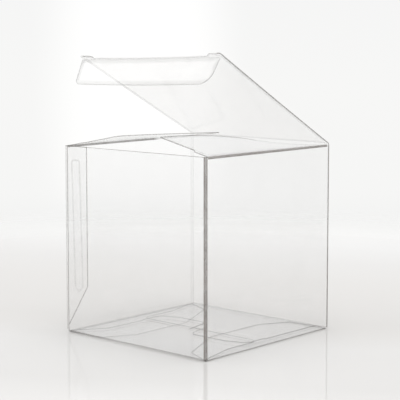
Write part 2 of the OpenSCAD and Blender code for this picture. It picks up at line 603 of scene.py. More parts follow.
@dataclass(frozen=True)
class CuredGlue(Finish):
    """Cured clear adhesive pressed flat: a thin line, slightly greyer than the sheet."""

    dark: str = "8B8680"

    def shade(self, tree: bpy.types.NodeTree, out: bpy.types.Node) -> None:
        """Builds the nodes: the bead thickens and thins over a few millimetres."""
        place = add(tree, "ShaderNodeTexCoord").outputs["Object"]
        bead = add(
            tree, "ShaderNodeTexNoise", {"Scale": 1 / (6 * MM), "Detail": 3.0}, {"Vector": place}
        ).outputs["Fac"]
        alpha = add(
            tree,
            "ShaderNodeMapRange",
            {"From Min": 0.3, "From Max": 0.7, "To Min": 0.05, "To Max": 0.13},
            {"Value": bead},
        ).outputs["Result"]
        glue = add(
            tree,
            "ShaderNodeBsdfPrincipled",
            {"Base Color": linear(self.dark), "Roughness": 0.2, "IOR": 1.48},
            {"Alpha": alpha},
        )
        tree.links.new(glue.outputs[0], out.inputs["Surface"])


@dataclass(frozen=True)
class TableGloss(Finish):
    """White gloss board on the studio table: pale, with painted shade darkest under and just
    behind the box, and a faint mirror image at low angles.
    """

    fade_from: float = 0.30
    fade_to: float = 0.52
    across: tuple[float, float, float] = (-0.530, 0.848, 0.0)
    painted_shade_tones: tuple[tuple[float, str], ...] = (
        (0.0, "ECEBEA"),
        (0.28, "E8E7E6"),
        (0.35, "DFDEDD"),
        (0.458, "E1E0DF"),
        (0.514, "DAD8D6"),
        (0.542, "D8D6D4"),
        (0.625, "DAD8D6"),
        (0.708, "DDDBD9"),
        (0.806, "E2E1E0"),
        (0.917, "EDEDED"),
        (1.0, "F2F2F2"),
    )

    def shade(self, tree: bpy.types.NodeTree, out: bpy.types.Node) -> None:
        """Builds the nodes: the board fades into the backdrop away from the box."""
        place = add(tree, "ShaderNodeTexCoord").outputs["Object"]
        # Painted shade across the board: darkest under and just behind the box, paler towards the
        # front and palest far behind it
        depth = add(
            tree, "ShaderNodeVectorMath", {1: self.across}, {0: place}, operation="DOT_PRODUCT"
        ).outputs["Value"]
        share = add(
            tree, "ShaderNodeMapRange", {"From Min": -0.36, "From Max": 0.36}, {"Value": depth}
        ).outputs["Result"]
        colour = add(tree, "ShaderNodeValToRGB", None, {0: share})
        fill_ramp(colour, [(at, linear(code)) for at, code in self.painted_shade_tones])
        reach = add(
            tree, "ShaderNodeVectorMath", None, {0: place}, operation="LENGTH"
        ).outputs["Value"]
        fade = add(
            tree,
            "ShaderNodeMapRange",
            {"From Min": self.fade_from, "From Max": self.fade_to},
            {"Value": reach},
            interpolation_type="SMOOTHSTEP",
        ).outputs["Result"]
        polish = add(
            tree,
            "ShaderNodeMapRange",
            {"From Min": 0.18, "From Max": 0.36, "To Min": 0.5, "To Max": 0.0},
            {"Value": reach},
            interpolation_type="SMOOTHSTEP",
        ).outputs["Result"]
        board = add(
            tree,
            "ShaderNodeBsdfPrincipled",
            {"Roughness": 0.014, "IOR": 1.45},
            {"Base Color": colour.outputs["Color"], "Specular IOR Level": polish},
        )
        gone = add(tree, "ShaderNodeBsdfTransparent")
        surface = add(
            tree, "ShaderNodeMixShader", None, {0: fade, 1: board.outputs[0], 2: gone.outputs[0]}
        )
        tree.links.new(surface.outputs[0], out.inputs["Surface"])


CLEAR = ClearSheet("pet_sheet_extruded_clear")
LID_CLEAR = ClearSheet("pet_sheet_lid_clear", tint="FEFEFE", roughness=0.16)
TUCK_CLEAR = ClearSheet("pet_sheet_tuck_clear", haze=0.015, roughness=0.2)
# Painted shade for the folds, set darker or paler fold by fold
CREASE = PaintedCreaseShade("pet_crease_painted_shade")
FRONT_CREASE = PaintedCreaseShade("pet_crease_front_painted_shade", strength=0.92)
FAINT_CREASE_SHADE = PaintedCreaseShade("pet_crease_faint_painted_shade", strength=0.14, middle=0.5)
SEAM_CREASE = PaintedCreaseShade("pet_crease_seam_painted_shade", strength=0.5, middle=0.5)
HINGE_CREASE = PaintedCreaseShade("pet_crease_hinge_painted_shade", strength=0.02, middle=0.5)
TUCK_CREASE = PaintedCreaseShade("pet_crease_tuck_painted_shade", strength=0.1, middle=0.8)
FLAP_CREASE = PaintedCreaseShade("pet_crease_flap_painted_shade", strength=0.92, middle=0.85)
FADING_FLAP_CREASE_SHADE = PaintedCreaseShade(
    "pet_crease_flap_painted_shade_fading_end", strength=0.9, middle=0.85, back_end=0.25
)
FOOT_CREASE = FootPaintedCreaseShade("pet_crease_foot_ruled", strength=0.42)
GLUE = CuredGlue("adhesive_bead_cured")
TABLE = TableGloss("table_board_white_gloss")


def edge_finish(tone: Tone) -> CutEdgeAndShade:
    """The cut edge's finish, with painted shade of a tone."""
    return CutEdgeAndShade(f"pet_edge_die_cut_and_painted_shade_{tone.name.lower()}", tone=tone)


class EdgeTree:
    """The Geometry Nodes tree that lays a narrow band along a cut edge of the sheet."""

    NAME = "cut_edge_band"

    def __init__(self) -> None:
        """Builds the tree once."""
        tree = bpy.data.node_groups.new(self.NAME, "GeometryNodeTree")
        face = tree.interface
        face.new_socket("Geometry", in_out="INPUT", socket_type="NodeSocketGeometry")
        for name in ("Band Width", "Band Height"):
            face.new_socket(name, in_out="INPUT", socket_type="NodeSocketFloat")
        face.new_socket("Finish", in_out="INPUT", socket_type="NodeSocketMaterial")
        face.new_socket("Geometry", in_out="OUTPUT", socket_type="NodeSocketGeometry")
        given = add(tree, "NodeGroupInput").outputs
        line = add(tree, "GeometryNodeMeshToCurve", None, {0: given["Geometry"]})
        flat = add(tree, "GeometryNodeSetCurveNormal", None, {0: line.outputs[0]}, mode="Z_UP")
        profile = add(
            tree,
            "GeometryNodeCurvePrimitiveQuadrilateral",
            None,
            {"Width": given["Band Width"], "Height": given["Band Height"]},
            mode="RECTANGLE",
        )
        band = add(
            tree,
            "GeometryNodeCurveToMesh",
            {"Fill Caps": True},
            {"Curve": flat.outputs[0], "Profile Curve": profile.outputs[0]},
        )
        real = add(tree, "GeometryNodeRealizeInstances", None, {0: band.outputs[0]})
        dressed = add(
            tree,
            "GeometryNodeSetMaterial",
            None,
            {"Geometry": real.outputs[0], "Material": given["Finish"]},
        )
        out = add(tree, "NodeGroupOutput")
        tree.links.new(dressed.outputs[0], out.inputs[0])
        self.tree = tree

    def lay(
        self,
        name: str,
        paths: list[list[Point2]],
        frame_at: Matrix,
        tone: Tone,
        z: float = 0.0,
        bow: Bow | None = None,
        size: tuple[float, float] = (BAND, SIZES.sheet + 2 * PROUD),
    ) -> bpy.types.Object:
        """Lays bands along open paths that lie in one plane.

        Args:
            name: The piece's name.
            paths: The paths in the plane's own millimetres.
            frame_at: The plane's frame, in millimetres.
            tone: How dark the edge's painted shade is.
            z: The band's middle above the plane.
            bow: How the plane is bowed, if it is.
            size: The band's width in the plane, and its height across it.

        Returns:
            One plain mesh object at the origin, with its place in its mesh.
        """
        mesh = bpy.data.meshes.new(name + "_paths")
        points: list[tuple[float, float, float]] = []
        edges: list[tuple[int, int]] = []
        for path in paths:
            first = len(points)
            points += [(x * MM, y * MM, 0.0) for x, y in (fine(path) if bow else path)]
            edges += [(i, i + 1) for i in range(first, len(points) - 1)]
        mesh.from_pydata(points, edges, [])
        holder = bpy.data.objects.new(name + "_paths", mesh)
        bpy.context.scene.collection.objects.link(holder)
        nodes = holder.modifiers.new("bands", "NODES")
        nodes.node_group = self.tree
        ids = {
            item.name: item.identifier
            for item in self.tree.interface.items_tree
            if item.in_out == "INPUT"
        }
        nodes[ids["Band Width"]] = size[0] * MM
        nodes[ids["Band Height"]] = size[1] * MM
        nodes[ids["Finish"]] = edge_finish(tone).make()
        graph = bpy.context.evaluated_depsgraph_get()
        made = bpy.data.meshes.new_from_object(holder.evaluated_get(graph), depsgraph=graph)
        bpy.data.objects.remove(holder)
        bpy.data.meshes.remove(mesh)
        made.name = name
        if bow:
            for vertex in made.vertices:
                vertex.co += bow.lift(vertex.co.x / MM, vertex.co.y / MM) * MM
        made.transform(Matrix.Translation((0, 0, z * MM)))
        made.transform(in_metres(frame_at))
        return finished(name, made)


def in_metres(matrix: Matrix) -> Matrix:
    """A frame given in millimetres, in metres."""
    moved = matrix.copy()
    moved.translation = moved.translation * MM
    return moved


def finished(name: str, mesh: bpy.types.Mesh) -> bpy.types.Object:
    """Makes a piece of a mesh, with its faces turned outward.

    Args:
        name: The piece's name.
        mesh: Its mesh, in place.

    Returns:
        The linked object, at the origin.
    """
    work = bmesh.new()
    work.from_mesh(mesh)
    bmesh.ops.remove_doubles(work, verts=work.verts, dist=1e-7)
    bmesh.ops.recalc_face_normals(work, faces=work.faces)
    work.to_mesh(mesh)
    work.free()
    piece = bpy.data.objects.new(name, mesh)
    bpy.context.scene.collection.objects.link(piece)
    return piece


def crease_band(
    name: str,
    profile: list[Vector],
    along: Vector,
    length: float,
    finish: Finish,
    steps: int = 12,
    shift: Callable[[Vector], Vector] | None = None,
) -> bpy.types.Object:
    """Sweeps the section of a crease's painted shade band along its fold line.

    Args:
        name: The piece's name.
        profile: Points of the section in millimetres, at the start of the fold.
        along: The fold's direction, a unit vector.
        length: The fold's length in millimetres.
        finish: Its finish.
        steps: Segments along the fold.
        shift: How far a point goes with a bowed sheet, from its flat place.

    Returns:
        The band as an object, with the map "crease": across the band, and along it.
    """
    runs = [0.0]
    for a, b in zip(profile, profile[1:]):
        runs.append(runs[-1] + (b - a).length)
    work = bmesh.new()
    layer = work.loops.layers.uv.new("crease")
    rows = []
    for k in range(steps + 1):
        places = [p + along * (length * k / steps) for p in profile]
        if shift:
            places = [p + shift(p) for p in places]
        rows.append([work.verts.new(p * MM) for p in places])
    for k in range(steps):
        for i in range(len(profile) - 1):
            face = work.faces.new((rows[k][i], rows[k][i + 1], rows[k + 1][i + 1], rows[k + 1][i]))
            face.smooth = True
            for loop, (u, v) in zip(face.loops, ((i, k), (i + 1, k), (i + 1, k + 1), (i, k + 1))):
                loop[layer].uv = (runs[u] / runs[-1], v / steps)
    mesh = bpy.data.meshes.new(name)
    work.to_mesh(mesh)
    work.free()
    mesh.materials.append(finish.make())
    piece = bpy.data.objects.new(name, mesh)
    bpy.context.scene.collection.objects.link(piece)
    return piece


def bowed_sheet(
    name: str,
    outline: list[Point2],
    low: float,
    frame_at: Matrix,
    bow: Bow,
    finish: Finish,
    cell: float = 6.0,
) -> bpy.types.Object:
    """Cuts a flap out of the clear sheet and bows it.

    Args:
        name: The piece's name.
        outline: The flap's outline in its own plane, in millimetres.
        low: Height of its underside above that plane.
        frame_at: The plane's frame, in millimetres.
        bow: How the flap has sprung.
        finish: Its finish.
        cell: Size of the facets that follow the bow.

    Returns:
        The closed sheet as an object at the origin, with its place in its mesh.
    """
    work = bmesh.new()
    work.faces.new([work.verts.new((x, y, 0)) for x, y in outline])
    for axis in (0, 1):
        first = min(p[axis] for p in outline)
        wide = max(p[axis] for p in outline) - first
        count = math.ceil(wide / cell)
        for k in range(1, count):
            at = [0.0, 0.0, 0.0]
            # A hair off the grid, so that no cut runs through a corner of the outline
            at[axis] = first + wide * k / count + 0.013
            bmesh.ops.bisect_plane(
                work,
                geom=work.verts[:] + work.edges[:] + work.faces[:],
                dist=1e-5,
                plane_co=at,
                plane_no=(1, 0, 0) if axis == 0 else (0, 1, 0),
            )
    for vertex in work.verts:
        vertex.co += bow.lift(vertex.co.x, vertex.co.y)
        vertex.co.z += low
    for face in work.faces:
        face.smooth = True
    upper = bmesh.ops.extrude_face_region(work, geom=work.faces[:])["geom"]
    for vertex in (g for g in upper if isinstance(g, bmesh.types.BMVert)):
        vertex.co.z += SIZES.sheet
    for face in work.faces:
        face.normal_update()
        face.smooth = abs(face.normal.z) > 0.5
    mesh = bpy.data.meshes.new(name)
    work.to_mesh(mesh)
    work.free()
    mesh.transform(Matrix.Scale(MM, 4))
    mesh.transform(in_metres(frame_at))
    mesh.materials.append(finish.make())
    return finished(name, mesh)


def arc(
    centre: Vector, radius: float, a0: float, a1: float, u: Vector, v: Vector, steps: int = 8
) -> list[Vector]:
    """Points of an arc.

    Args:
        centre: The arc's centre.
        radius: Its radius.
        a0: Its first angle in degrees, from u towards v.
        a1: Its last angle.
        u: A unit vector of the plane.
        v: The other unit vector of the plane.
        steps: Segments.

    Returns:
        The points.
    """
    return [
        centre
        + u * radius * math.cos(math.radians(a0 + (a1 - a0) * k / steps))
        + v * radius * math.sin(math.radians(a0 + (a1 - a0) * k / steps))
        for k in range(steps + 1)
    ]


X, Y, Z = Vector((1, 0, 0)), Vector((0, 1, 0)), Vector((0, 0, 1))
# How far a crease's painted shade band stands off the sheet, and how much flat sheet it takes in,
# in millimetres
OFF = 0.02
FLANK = 0.3
UNDERSIDE = 1.5


@dataclass
class BoxBody:
    """Walls, glued bottom and side seam, with their folds and cut edges."""

    sizes: SheetSizes
    edges: EdgeTree
    pieces: list[bpy.types.Object] = field(default_factory=list)

    def build(self) -> list[bpy.types.Object]:
        """Builds and dresses everything that rides on the box."""
        for node, finish in (("box_body", CLEAR), ("seam_adhesive", GLUE)):
            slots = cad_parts[node].data.materials
            slots.clear()
            slots.append(finish.make())
        self.corner_creases()
        self.foot_creases()
        self.wall_edges()
        self.seam_edges()
        self.bottom_edges()
        for piece in self.pieces:
            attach(piece, "box")
        return self.pieces

    def corner_creases(self) -> None:
        """Painted shade along the upright folds at the four corners, darker or paler at each
        corner.
        """
        s = self.sizes
        r = s.crease_r
        # Pressed right down to the corner, past the cut that frees the foot folds
        low = s.sheet + 0.2
        tall = s.height - low
        middle = r + OFF
        for name, cx, cy, turn, finish in (
            ("crease_front_right", s.half_w - r, -s.half_d + r, -90, FRONT_CREASE),
            ("crease_back_right", s.half_w - r, s.half_d - r, 0, CREASE),
            ("crease_back_left", -s.half_w + r, s.half_d - r, 90, FAINT_CREASE_SHADE),
            ("crease_seam", -s.half_w + r, s.seam_y + r, 180, SEAM_CREASE),
        ):
            a = math.radians(turn)
            u = Vector((math.cos(a), math.sin(a), 0))
            v = Vector((-math.sin(a), math.cos(a), 0))
            c = Vector((cx, cy, low))
            section = arc(c, middle, 0, 90, u, v)
            section = [section[0] - v * FLANK] + section + [section[-1] - u * FLANK]
            self.pieces.append(crease_band(name, section, Z, tall, finish))

    def foot_creases(self) -> None:
        """Painted shade along the folds between the walls and the bottom flaps, and on a strip of
        their underside, for the board to mirror.
        """
        s = self.sizes
        r = s.crease_r
        outside = r + OFF
        for name, out_dir, z0, wall, side in (
            ("crease_foot_left", -X, 0.0, s.half_w, s.depth),
            ("crease_foot_right", X, 0.0, s.half_w, s.depth),
            ("crease_foot_front", -Y, s.sheet, s.half_d, s.width),
            ("crease_foot_back", Y, s.sheet, s.half_d, s.width),
        ):
            along = Z.cross(out_dir)
            length = side - s.relief
            start = out_dir * (wall - r) - along * (length / 2) + Z * (z0 + r)
            section = arc(start, outside, 0, -90, out_dir, Z)
            section = [section[0] + Z * FLANK] + section + [section[-1] - out_dir * UNDERSIDE]
            self.pieces.append(crease_band(name, section, along, length, FOOT_CREASE))

    def wall_edges(self) -> None:
        """The cut top edges of the walls, and the cut edge of the front wall over the seam."""
        s = self.sizes
        mid = s.crease_r - s.sheet / 2
        h = s.sheet / 2

        def bend(cx: float, cy: float, a0: float, a1: float) -> list[Point2]:
            """Points round a corner in plan."""
            return [
                (
                    cx + mid * math.cos(math.radians(a0 + (a1 - a0) * k / 6)),
                    cy + mid * math.sin(math.radians(a0 + (a1 - a0) * k / 6)),
                )
                for k in range(7)
            ]

        r = s.crease_r
        front = [(-s.half_w + s.cut_gap, -s.half_d + h)] + bend(
            s.half_w - r, -s.half_d + r, -90, 0
        )
        front.append((s.half_w - h, -s.half_d + s.relief))
        seam = [(-s.half_w + h, -s.half_d + s.relief + 0.6)] + bend(
            -s.half_w + r, s.seam_y + r, 180, 270
        )
        seam.append((-s.half_w + s.seam_w, s.seam_y + h))
        self.pieces.append(
            self.edges.lay(
                "edge_wall_tops",
                [front, seam],
                Matrix.Identity(4),
                Tone.PLAIN,
                s.height - BAND / 2 + PROUD,
                size=(s.sheet + 2 * PROUD, BAND),
            )
        )
        self.pieces.append(
            self.edges.lay(
                "edge_front_at_seam",
                [[(s.cut_gap + 0.1, s.sheet + s.crease_r), (s.cut_gap + 0.1, s.height)]],
                s.front_frame(-s.half_d + h),
                Tone.FAINT,
            )
        )

    def seam_edges(self) -> None:
        """The cut edges of the seam flap."""
        s = self.sizes
        slope = math.tan(math.radians(s.seam_slant))
        path = rounded(
            [
                (s.crease_r, s.seam_foot, 0),
                (s.seam_w, s.seam_foot + (s.seam_w - s.crease_r) * slope, 1.5),
                (s.seam_w, s.height, 0),
            ]
        )
        self.pieces.append(
            self.edges.lay(
                "edge_seam_flap", [path], s.front_frame(s.seam_y + s.sheet / 2), Tone.PLAIN
            )
        )

    def bottom_half(self, by_seam: bool) -> list[tuple[float, list[Point2]]]:
        """The cut edges of one half of the automatic bottom.

        Args:
            by_seam: True for the half whose main flap is next to the seam.

        Returns:
            The paths with the height of their sheet's underside.
        """
        s = self.sizes
        edge = s.main_inset + (s.seam_clearance if by_seam else 0)
        slope = math.tan(math.radians(s.seam_slant))
        reach = s.side_flap_d + s.crease_r
        side = rounded(
            [
                (s.crease_r, s.relief, 0),
                (s.glued_corner, s.relief, 2),
                (reach, s.relief + s.side_flap_d - s.glued_corner + 9, s.bottom_corner_r),
                (reach, s.depth / 2 + 8, s.bottom_corner_r),
                (18, s.depth - 9, s.bottom_corner_r),
                (s.crease_r, s.depth - s.relief, 0),
            ]
        )
        main = rounded(
            [
                (s.relief if by_seam else edge, s.crease_r, 0),
                (edge, s.crease_r + (edge - s.relief) * slope, 4 if by_seam else 0),
                (edge, s.depth / 2 - 5, 0),
            ]
        )
        far = rounded(
            [
                (s.width / 2 - 2, s.depth / 2 - s.cut_gap, 0),
                (s.width - s.main_inset, s.depth / 2 - s.cut_gap, s.bottom_corner_r),
                (s.width - s.main_inset, 26, s.bottom_corner_r),
                (s.width - s.relief, s.crease_r, 0),
            ]
        )
        tongue = rounded(
            [
                (edge, s.depth / 2 - 5, 0),
                (edge, s.depth / 2 + s.lock_overlap - 4, s.bottom_corner_r),
                (edge + 12, s.depth / 2 + s.lock_overlap, s.bottom_corner_r),
                (s.width / 2 - 6, s.depth / 2 + s.lock_overlap, s.bottom_corner_r),
                (s.width / 2 - 2, s.depth / 2 - 5, 0),
            ]
        )
        return [(0.0, side), (s.sheet, main), (s.sheet, far), (2 * s.sheet, tongue)]

    def bottom_edges(self) -> None:
        """The cut edges of the bottom flaps, both halves."""
        s = self.sizes
        corner = Matrix.Translation((-s.half_w, -s.half_d, 0))
        for half, by_seam, turn in (("front", True, 0.0), ("back", False, math.pi)):
            for kind, (z, path) in zip(
                ("side", "main", "far", "tongue"), self.bottom_half(by_seam)
            ):
                self.pieces.append(
                    self.edges.lay(
                        f"edge_bottom_{half}_{kind}",
                        [path],
                        Matrix.Rotation(turn, 4, "Z") @ corner,
                        Tone.SOFT,
                        z + s.sheet / 2 + PROUD / 2,
                        size=(BAND, s.sheet + PROUD),
                    )
                )


@dataclass
class Lid:
    """The hinged lid with its shoulders, the tuck flap, and their folds and cut edges."""

    sizes: SheetSizes
    edges: EdgeTree
    left_trim: float = 1.5
    extra: float = 0.9

    @property
    def bow(self) -> LidBow:
        """How the lid has sprung."""
        return LidBow(self.sizes)

    @property
    def half(self) -> float:
        """Half the lid's width."""
        return self.sizes.half_w - self.sizes.lid_side

    def build(self) -> list[bpy.types.Object]:
        """Builds and dresses the lid and the tuck flap."""
        made = [self.sheet(), self.tuck_sheet()] + self.lid_edges() + self.tuck_edges()
        made += [self.hinge(), self.tuck_fold()]
        return made

    def sheet(self) -> bpy.types.Object:
        """The lid's own sheet, between its hinge and the tuck flap's fold, with its shoulders."""
        s = self.sizes
        root = self.half - s.slit + s.cut_gap
        stop = s.fold_s + s.sheet / 2 - s.crease_r
        right = [
            (root, -stop, 0),
            (root, -s.fold_s, 0),
            (root + s.slit_slant, -s.shoulder_s, 0.4),
            (self.half, -s.shoulder_s, s.lid_corner_r),
            (self.half, 0, 0),
        ]
        left = [(-x, y, r) for x, y, r in reversed(right)]
        piece = bowed_sheet(
            "sheet_lid",
            rounded(left + right, closed=True),
            -s.sheet,
            s.lid_frame(),
            self.bow,
            LID_CLEAR,
            cell=4.0,
        )
        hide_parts("lid")
        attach(piece, "lid")
        return piece

    def tuck_outline(self) -> list[Corner]:
        """The tuck flap's outline from one end of its fold to the other.

        The left end is trimmed, because the lid sways to that side and the closed flap has to
        pass inside the wall. The free edge reaches a little further than the part's.
        """
        s = self.sizes
        reach = s.tuck_d + self.extra
        root = self.half - s.slit
        top = s.crease_r - s.sheet / 2
        slit_edge = s.shoulder_reach + s.cut_gap
        return [
            (-root, -top, 0),
            (-root - s.slit_slant, -slit_edge, 0),
            (-self.half + self.left_trim, -slit_edge, 0.8),
            (-self.half + s.tuck_taper, -reach, s.tuck_left_r),
            (self.half - s.tuck_taper, -reach, s.tuck_corner_r),
            (self.half, -slit_edge, 0.8),
            (root + s.slit_slant, -slit_edge, 0),
            (root, -top, 0),
        ]

    def tuck_sheet(self) -> bpy.types.Object:
        """The tuck flap's own sheet."""
        s = self.sizes
        piece = bowed_sheet(
            "sheet_tuck_flap",
            rounded(self.tuck_outline(), closed=True),
            -s.sheet / 2,
            s.tuck_frame(),
            TuckBow(s, self.bow),
            TUCK_CLEAR,
            cell=4.0,
        )
        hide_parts("tuck_flap")
        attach(piece, "tuck_flap")
        return piece

    def lid_edges(self) -> list[bpy.types.Object]:
        """The lid's side edges and shoulders."""
        s = self.sizes
        w = self.half
        root = w - s.slit + s.cut_gap
        made = []
        # Each edge gets a painted shade of its own by how the light falls on it: hardly any on the
        # left side, deep on the right
        for side, name, tone, end_tone in (
            (-1, "left", Tone.TRACE, Tone.PLAIN), (1, "right", Tone.DEEP, Tone.FAINT)
        ):
            long_edge = rounded(
                [
                    (side * w, 0, 0),
                    (side * w, -s.shoulder_s, s.lid_corner_r),
                    (side * (w - 2), -s.shoulder_s, 0),
                ]
            )
            shoulder = rounded(
                [
                    (side * (w - 2), -s.shoulder_s, 0),
                    (side * (root + s.slit_slant), -s.shoulder_s, 0.4),
                    (side * root, -s.fold_s, 0),
                ]
            )
            for kind, path, dark in (("side", long_edge, tone), ("shoulder", shoulder, end_tone)):
                piece = self.edges.lay(
                    f"edge_lid_{name}_{kind}", [path], s.lid_frame(), dark, -s.sheet / 2, self.bow
                )
                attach(piece, "lid")
                made.append(piece)
        return made

    def tuck_edges(self) -> list[bpy.types.Object]:
        """The tuck flap's cut edges: the long free one, and the two ends with their ears."""
        s = self.sizes
        whole = rounded(self.tuck_outline())
        low = [i for i, (_, y) in enumerate(whole) if y < -s.tuck_d * 0.6]
        made = []
        # The free edge gets a faint painted shade and the ends hardly any
        for name, paths, tone in (
            ("edge_tuck_flap", [whole[low[0] : low[-1] + 1]], Tone.FAINT),
            ("edge_tuck_ends", [whole[: low[0] + 1], whole[low[-1] :]], Tone.TRACE),
        ):
            bow = TuckBow(s, self.bow)
            piece = self.edges.lay(name, paths, s.tuck_frame(), tone, bow=bow)
            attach(piece, "tuck_flap")
            made.append(piece)
        return made

    def hinge(self) -> bpy.types.Object:
        """Painted shade along the fold between the back wall and the lid."""
        s = self.sizes
        a = math.radians(s.lid_angle)
        along_lid = Vector((0, -math.cos(a), math.sin(a)))
        off_lid = Vector((0, math.sin(a), math.cos(a)))
        start = -X * (s.half_w - s.relief)
        axis = start + Y * s.hinge_y + Z * s.lid_top
        section = [
            start + Y * (s.half_d + 0.03) + Z * (s.height - 0.9),
            start + Y * (s.half_d + 0.03) + Z * (s.height - 0.2),
            start + Y * (s.half_d + 0.1) + Z * (s.height + 0.1),
            start + Y * (s.hinge_y + 0.02) + Z * (s.lid_top - 0.2),
            axis + off_lid * 0.03,
            axis + off_lid * 0.03 + along_lid * 0.4,
            axis + off_lid * 0.03 + along_lid * 0.9,
        ]
        piece = crease_band("crease_lid_hinge", section, X, s.width - 2 * s.relief, HINGE_CREASE)
        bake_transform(piece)
        return piece

    def tuck_fold(self) -> bpy.types.Object:
        """Painted shade along the round fold between the lid and the tuck flap."""
        s = self.sizes
        root = self.half - s.slit
        at = s.lid_frame() @ Matrix.Translation((0, -s.fold_s, -s.sheet / 2))
        turn = at.to_3x3()
        r = s.crease_r + OFF
        mid = Vector((-root, s.crease_r - s.sheet / 2, s.sheet / 2 - s.crease_r))
        local = [mid + Vector((0, 0.5, r))]
        local += arc(mid, r, 0, s.tuck_angle, Z, -Y)
        t = math.radians(s.tuck_angle)
        down = Vector((0, -math.cos(t), -math.sin(t)))
        local.append(local[-1] + down * 0.5)

        def shift(p: Vector) -> Vector:
            """The lid's rise and sway at a point of the fold."""
            up = self.bow.height(p.x, s.fold_s)
            return turn @ Vector((-self.bow.sway * s.fold_s, 0, up))

        section = [at @ p for p in local]
        piece = crease_band(
            "crease_tuck", section, X, 2 * root, TUCK_CREASE, steps=24, shift=shift
        )
        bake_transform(piece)
        return piece


@dataclass
class DustFlap:
    """One of the two dust flaps, with its fold and its cut edge."""

    sizes: SheetSizes
    edges: EdgeTree
    side: int
    bow: DustBow
    corner_r: float
    crease: Finish
    back_tone: Tone
    clearance: float = 0.35
    early: float = 8.0

    @property
    def body(self) -> str:
        """The CAD body, which has the node's name."""
        return "dust_flap_right" if self.side > 0 else "dust_flap_left"

    def build(self) -> list[bpy.types.Object]:
        """Builds and dresses the flap."""
        made = [self.sheet(), *self.edge(), self.fold()]
        return made

    def outline(self) -> list[Corner]:
        """The flap's outline, from the front end of its fold to the back end."""
        s = self.sizes
        front = -s.half_d + s.lock_setback + self.clearance
        back = s.half_d - s.dust_back
        reach = s.dust_d - s.sheet / 2
        return [
            (0, front, 0),
            (-s.slit, front, 0.8),
            (-s.slit - s.lock_step, front + s.lock_step, 0.8),
            (-reach, front + s.lock_step, self.corner_r),
            (-reach, back - s.dust_taper, s.dust_corner_r),
            (0, back, 0),
        ]

    def sheet(self) -> bpy.types.Object:
        """The flap's own sheet."""
        s = self.sizes
        piece = bowed_sheet(
            f"sheet_{self.body}",
            rounded(self.outline(), closed=True),
            -s.sheet / 2,
            s.dust_frame(self.side),
            self.bow,
            CLEAR,
        )
        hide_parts(self.body)
        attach(piece, self.body)
        return piece

    def edge(self) -> list[bpy.types.Object]:
        """The flap's cut edge, split a little before its slanted back end, which gets a painted
        shade of its own.
        """
        s = self.sizes
        whole = rounded(self.outline())
        slant = s.half_d - s.dust_back - s.dust_taper - self.early
        split = next(i for i, (_, y) in enumerate(whole) if y > slant)
        made = []
        for name, path, tone in (
            (f"edge_{self.body}", whole[: split + 1], Tone.PLAIN),
            (f"edge_{self.body}_back", whole[split:], self.back_tone),
        ):
            at = s.dust_frame(self.side)
            piece = self.edges.lay(name, [path], at, tone, bow=self.bow)
            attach(piece, self.body)
            made.append(piece)
        return made

    def fold(self) -> bpy.types.Object:
        """Painted shade along the fold between the side wall and the flap."""
        s = self.sizes
        front = -s.half_d + s.relief
        back = s.half_d - s.dust_back + 0.4
        a = math.radians(s.dust_angle)
        r = s.sheet / 2 + 0.03
        axis = Vector(((s.half_w - s.sheet / 2), front, s.height - s.sheet / 2))
        inward = Vector((-math.cos(a), 0, math.sin(a)))
        section = [axis + X * r - Z * 1.1, axis + X * r - Z * 0.6, axis + X * r - Z * 0.1]
        section += arc(axis, r, 0, 90 - s.dust_angle, X, Z, 5)
        top = section[-1]
        section += [top + inward * 0.3, top + inward * 0.7]
        mirror = Matrix.Scale(self.side, 4, (1, 0, 0))
        section = [mirror @ p for p in section]
        if self.side < 0:
            section.reverse()
        local = s.dust_frame(self.side).inverted()
        turn = s.dust_frame(self.side).to_3x3()

        def shift(p: Vector) -> Vector:
            """The flap's twist at a point of the fold."""
            flat = local @ p
            return turn @ self.bow.lift(flat.x, flat.y)

        piece = crease_band(
            f"crease_{self.body}", section, Y, back - front, self.crease, shift=shift
        )
        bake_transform(piece)
        return piece


